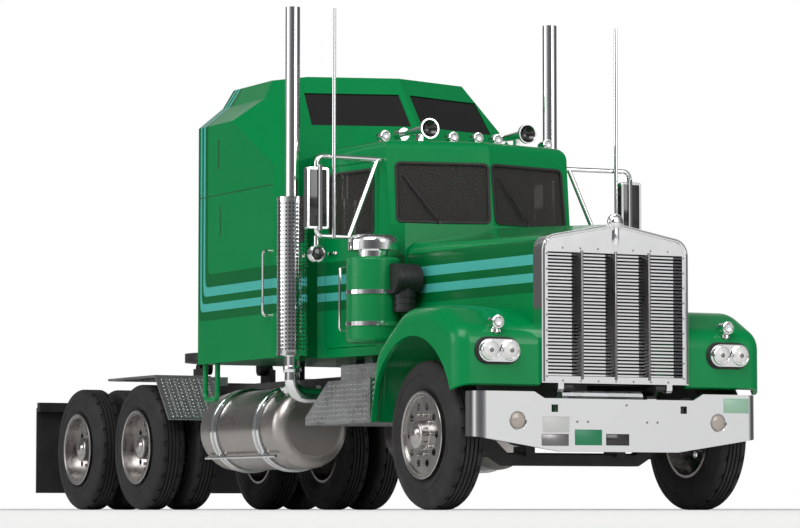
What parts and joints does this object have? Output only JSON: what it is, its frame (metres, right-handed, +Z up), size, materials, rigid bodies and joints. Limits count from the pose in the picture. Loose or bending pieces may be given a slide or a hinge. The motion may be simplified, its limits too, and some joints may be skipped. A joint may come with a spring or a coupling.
{
  "type": "scale model semi truck tractor",
  "caption": "Display model of a conventional truck tractor with raised-roof sleeper, tilting hood, opening doors, steered front wheels, twin drive wheels and a rocking fifth wheel.",
  "frame": {"origin": "on the floor under the middle of the model", "axes": "+X forward, +Y left, +Z up"},
  "size_m": [0.3508, 0.1208, 0.162],
  "materials": {
    "body_green": "gloss green with bands",
    "chrome": "plated plastic",
    "bright_tread": "raised tread pattern",
    "tank_aluminium": "brushed",
    "black_plastic": "satin black",
    "engine_grey": "satin grey",
    "rubber": "matt black",
    "tyre": "matt black vinyl",
    "clear_glass": "grey tinted clear plastic",
    "smoked_glass": "dark smoked",
    "lamp_glass": "clear lens",
    "cab_interior": "satin dark"
  },
  "bodies": {
    "chassis": {"air_cleaner_caps": "chrome", "air_cleaners": "body_green", "air_horns": "chrome", "air_intakes": "black_plastic", "bumper_lamps": "lamp_glass", "cab_body": "body_green", "crossmembers": "black_plastic", "dashboard": "cab_interior", "drive_axles": "black_plastic", "drive_shafts": "black_plastic", "engine": "engine_grey", "exhaust_stacks": "chrome", "fifth_wheel_base": "black_plastic", "frame_rails": "black_plastic", "front_axle": "black_plastic", "front_bumper": "chrome", "front_springs": "black_plastic", "fuel_tanks": "tank_aluminium", "marker_lamps": "chrome", "mirrors": "chrome", "mud_flaps": "rubber", "muffler_guards": "chrome", "quarter_fenders": "bright_tread", "radiator": "black_plastic", "rear_bar": "black_plastic", "seats": "cab_interior", "sleeper_body": "body_green", "sleeper_boot": "rubber", "sleeper_windows": "smoked_glass", "step_boxes": "bright_tread", "step_loops": "body_green", "tank_straps": "tank_aluminium", "walking_beams": "black_plastic", "windshield": "clear_glass"},
    "hood": {"hood_shell": "body_green", "grille_shell": "chrome", "grille_bars": "chrome", "headlamps": "chrome"},
    "right_door": {"door_right": "body_green", "door_glass_right": "clear_glass"},
    "left_door": {"door_left": "body_green", "door_glass_left": "clear_glass"},
    "right_knuckle": {"knuckle_right": "black_plastic"},
    "left_knuckle": {"knuckle_left": "black_plastic"},
    "track_rod": {"tie_rod": "black_plastic"},
    "right_front_wheel": {"front_tyre_right": "tyre", "front_wheel_right": "chrome"},
    "left_front_wheel": {"front_tyre_left": "tyre", "front_wheel_left": "chrome"},
    "first_right_twins": {"twin_tyres_first_right": "tyre", "twin_wheel_first_right": "chrome"},
    "first_left_twins": {"twin_tyres_first_left": "tyre", "twin_wheel_first_left": "chrome"},
    "second_right_twins": {"twin_tyres_second_right": "tyre", "twin_wheel_second_right": "chrome"},
    "second_left_twins": {"twin_tyres_second_left": "tyre", "twin_wheel_second_left": "chrome"},
    "fifth_wheel": {"fifth_wheel_plate": "black_plastic"}
  },
  "joints": [
    {"name": "hood_tilt", "type": "hinge", "parent": "chassis", "child": "hood", "pos_m": [0.1716, 0, 0.036], "axis": [0, 1, 0], "range_deg": [0, 75]},
    {"name": "right_door_swing", "type": "hinge", "parent": "chassis", "child": "right_door", "pos_m": [0.08322, -0.03414, 0.069], "axis": [0, 0, 1], "range_deg": [0, 65]},
    {"name": "right_steer", "type": "hinge", "parent": "chassis", "child": "right_knuckle", "pos_m": [0.1456, -0.0335, 0.0221], "axis": [0, 0, 1], "range_deg": [-30, 30]},
    {"name": "right_front_spin", "type": "hinge", "parent": "right_knuckle", "child": "right_front_wheel", "pos_m": [0.1456, -0.045, 0.0221], "axis": [0, 1, 0], "continuous": true},
    {"name": "left_door_swing", "type": "hinge", "parent": "chassis", "child": "left_door", "pos_m": [0.08322, 0.03414, 0.069], "axis": [0, 0, -1], "range_deg": [0, 65]},
    {"name": "left_steer", "type": "hinge", "parent": "chassis", "child": "left_knuckle", "pos_m": [0.1456, 0.0335, 0.0221], "axis": [0, 0, 1], "range_deg": [-30, 30]},
    {"name": "left_front_spin", "type": "hinge", "parent": "left_knuckle", "child": "left_front_wheel", "pos_m": [0.1456, 0.045, 0.0221], "axis": [0, 1, 0], "continuous": true},
    {"name": "track_rod_pivot", "type": "hinge", "parent": "right_knuckle", "child": "track_rod", "pos_m": [0.1366, -0.0335, 0.0166], "axis": [0, 0, 1], "range_deg": [-30, 30]},
    {"name": "first_right_spin", "type": "hinge", "parent": "chassis", "child": "first_right_twins", "pos_m": [-0.0789, -0.0359, 0.0221], "axis": [0, 1, 0], "continuous": true},
    {"name": "first_left_spin", "type": "hinge", "parent": "chassis", "child": "first_left_twins", "pos_m": [-0.0789, 0.0359, 0.0221], "axis": [0, 1, 0], "continuous": true},
    {"name": "second_right_spin", "type": "hinge", "parent": "chassis", "child": "second_right_twins", "pos_m": [-0.1348, -0.0359, 0.0221], "axis": [0, 1, 0], "continuous": true},
    {"name": "second_left_spin", "type": "hinge", "parent": "chassis", "child": "second_left_twins", "pos_m": [-0.1348, 0.0359, 0.0221], "axis": [0, 1, 0], "continuous": true},
    {"name": "fifth_wheel_rock", "type": "hinge", "parent": "chassis", "child": "fifth_wheel", "pos_m": [-0.1004, 0, 0.0512], "axis": [0, 1, 0], "range_deg": [-12, 12]}
  ],
  "couplings": [
    {"joint": "left_steer", "follows": "right_steer", "ratio": 1},
    {"joint": "track_rod_pivot", "follows": "right_steer", "ratio": -1}
  ]
}
